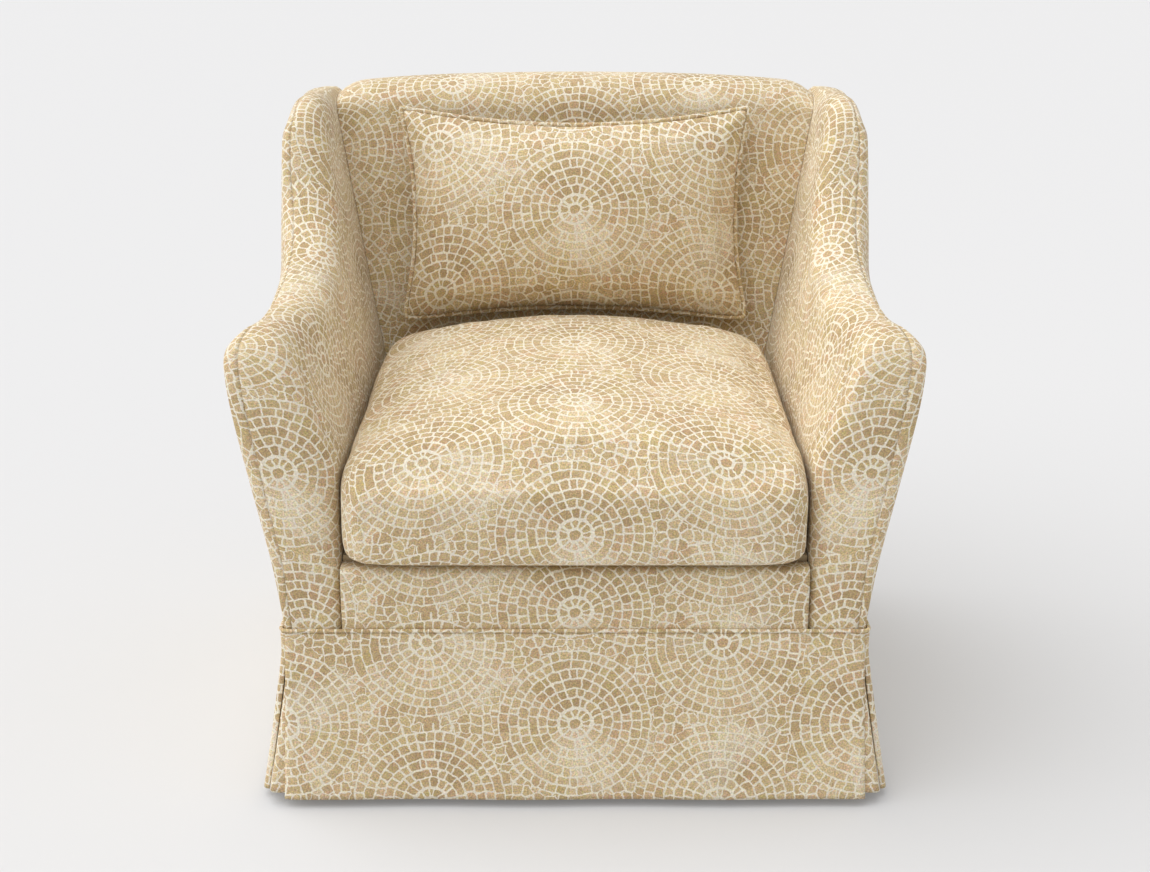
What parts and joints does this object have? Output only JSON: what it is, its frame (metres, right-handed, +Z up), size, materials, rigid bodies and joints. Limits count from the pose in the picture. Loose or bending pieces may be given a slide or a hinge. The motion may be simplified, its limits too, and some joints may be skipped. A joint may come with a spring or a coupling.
{
  "type": "skirted slope-arm club chair",
  "caption": "Skirted upholstered armchair with sloping arms that rise into wings, a loose crowned seat cushion and a loose knife-edge lumbar pillow.",
  "frame": {"origin": "on the floor, in the middle of the plan", "axes": "+Z up, the front faces -Y, +X is the right side as seen from the front"},
  "size_m": [0.8096, 0.7548, 0.844],
  "materials": {
    "fabric": "printed linen, mosaic medallions in tan on cream",
    "lining": "plain cotton",
    "foam": "wrapped foam",
    "cambric": "black cambric",
    "hardwood": "sawn, unfinished",
    "leg_wood": "dark stain",
    "steel": "drawn spring wire",
    "nylon": "moulded"
  },
  "bodies": {
    "frame": {"right_inside_arm": "fabric", "left_inside_arm": "fabric", "right_outside_arm": "fabric", "left_outside_arm": "fabric", "inside_back": "fabric", "outside_back": "fabric", "front_border": "fabric", "skirt_front": "fabric", "skirt_back": "fabric", "right_skirt_side": "fabric", "left_skirt_side": "fabric", "right_front_pleat_insert": "fabric", "left_front_pleat_insert": "fabric", "right_rear_pleat_insert": "fabric", "left_rear_pleat_insert": "fabric", "skirt_welt": "fabric", "front_rail": "hardwood", "back_rail": "hardwood", "back_top_rail": "hardwood", "back_tack_rail": "hardwood", "right_arm_post": "hardwood", "right_contour_rail": "hardwood", "right_wing_stile": "hardwood", "right_side_rail": "hardwood", "right_arm_tack_rail": "hardwood", "right_back_post": "hardwood", "right_front_corner_block": "hardwood", "right_rear_corner_block": "hardwood", "left_arm_post": "hardwood", "left_contour_rail": "hardwood", "left_wing_stile": "hardwood", "left_side_rail": "hardwood", "left_arm_tack_rail": "hardwood", "left_back_post": "hardwood", "left_front_corner_block": "hardwood", "left_rear_corner_block": "hardwood", "front_left_leg": "leg_wood", "front_right_leg": "leg_wood", "rear_left_leg": "leg_wood", "rear_right_leg": "leg_wood", "front_left_glide": "nylon", "front_right_glide": "nylon", "rear_left_glide": "nylon", "rear_right_glide": "nylon", "seat_spring_1": "steel", "seat_spring_2": "steel", "seat_spring_3": "steel", "seat_spring_4": "steel", "seat_spring_5": "steel", "seat_deck": "lining", "dust_cover": "cambric"},
    "seat_cushion": {"seat_cushion_cover": "fabric", "seat_cushion_core": "foam", "seat_cushion_zip": "lining"},
    "lumbar_pillow": {"pillow_cover": "fabric", "pillow_fill": "foam", "pillow_welt": "fabric", "pillow_zip": "lining"}
  },
  "joints": [
    {"name": "seat_cushion_lift", "type": "slide", "parent": "frame", "child": "seat_cushion", "axis": [0, 0, 1], "range_m": [0, 0.55]},
    {"name": "lumbar_pillow_lift", "type": "slide", "parent": "seat_cushion", "child": "lumbar_pillow", "axis": [0, 0.1975, 0.9803], "range_m": [0, 0.38]}
  ]
}
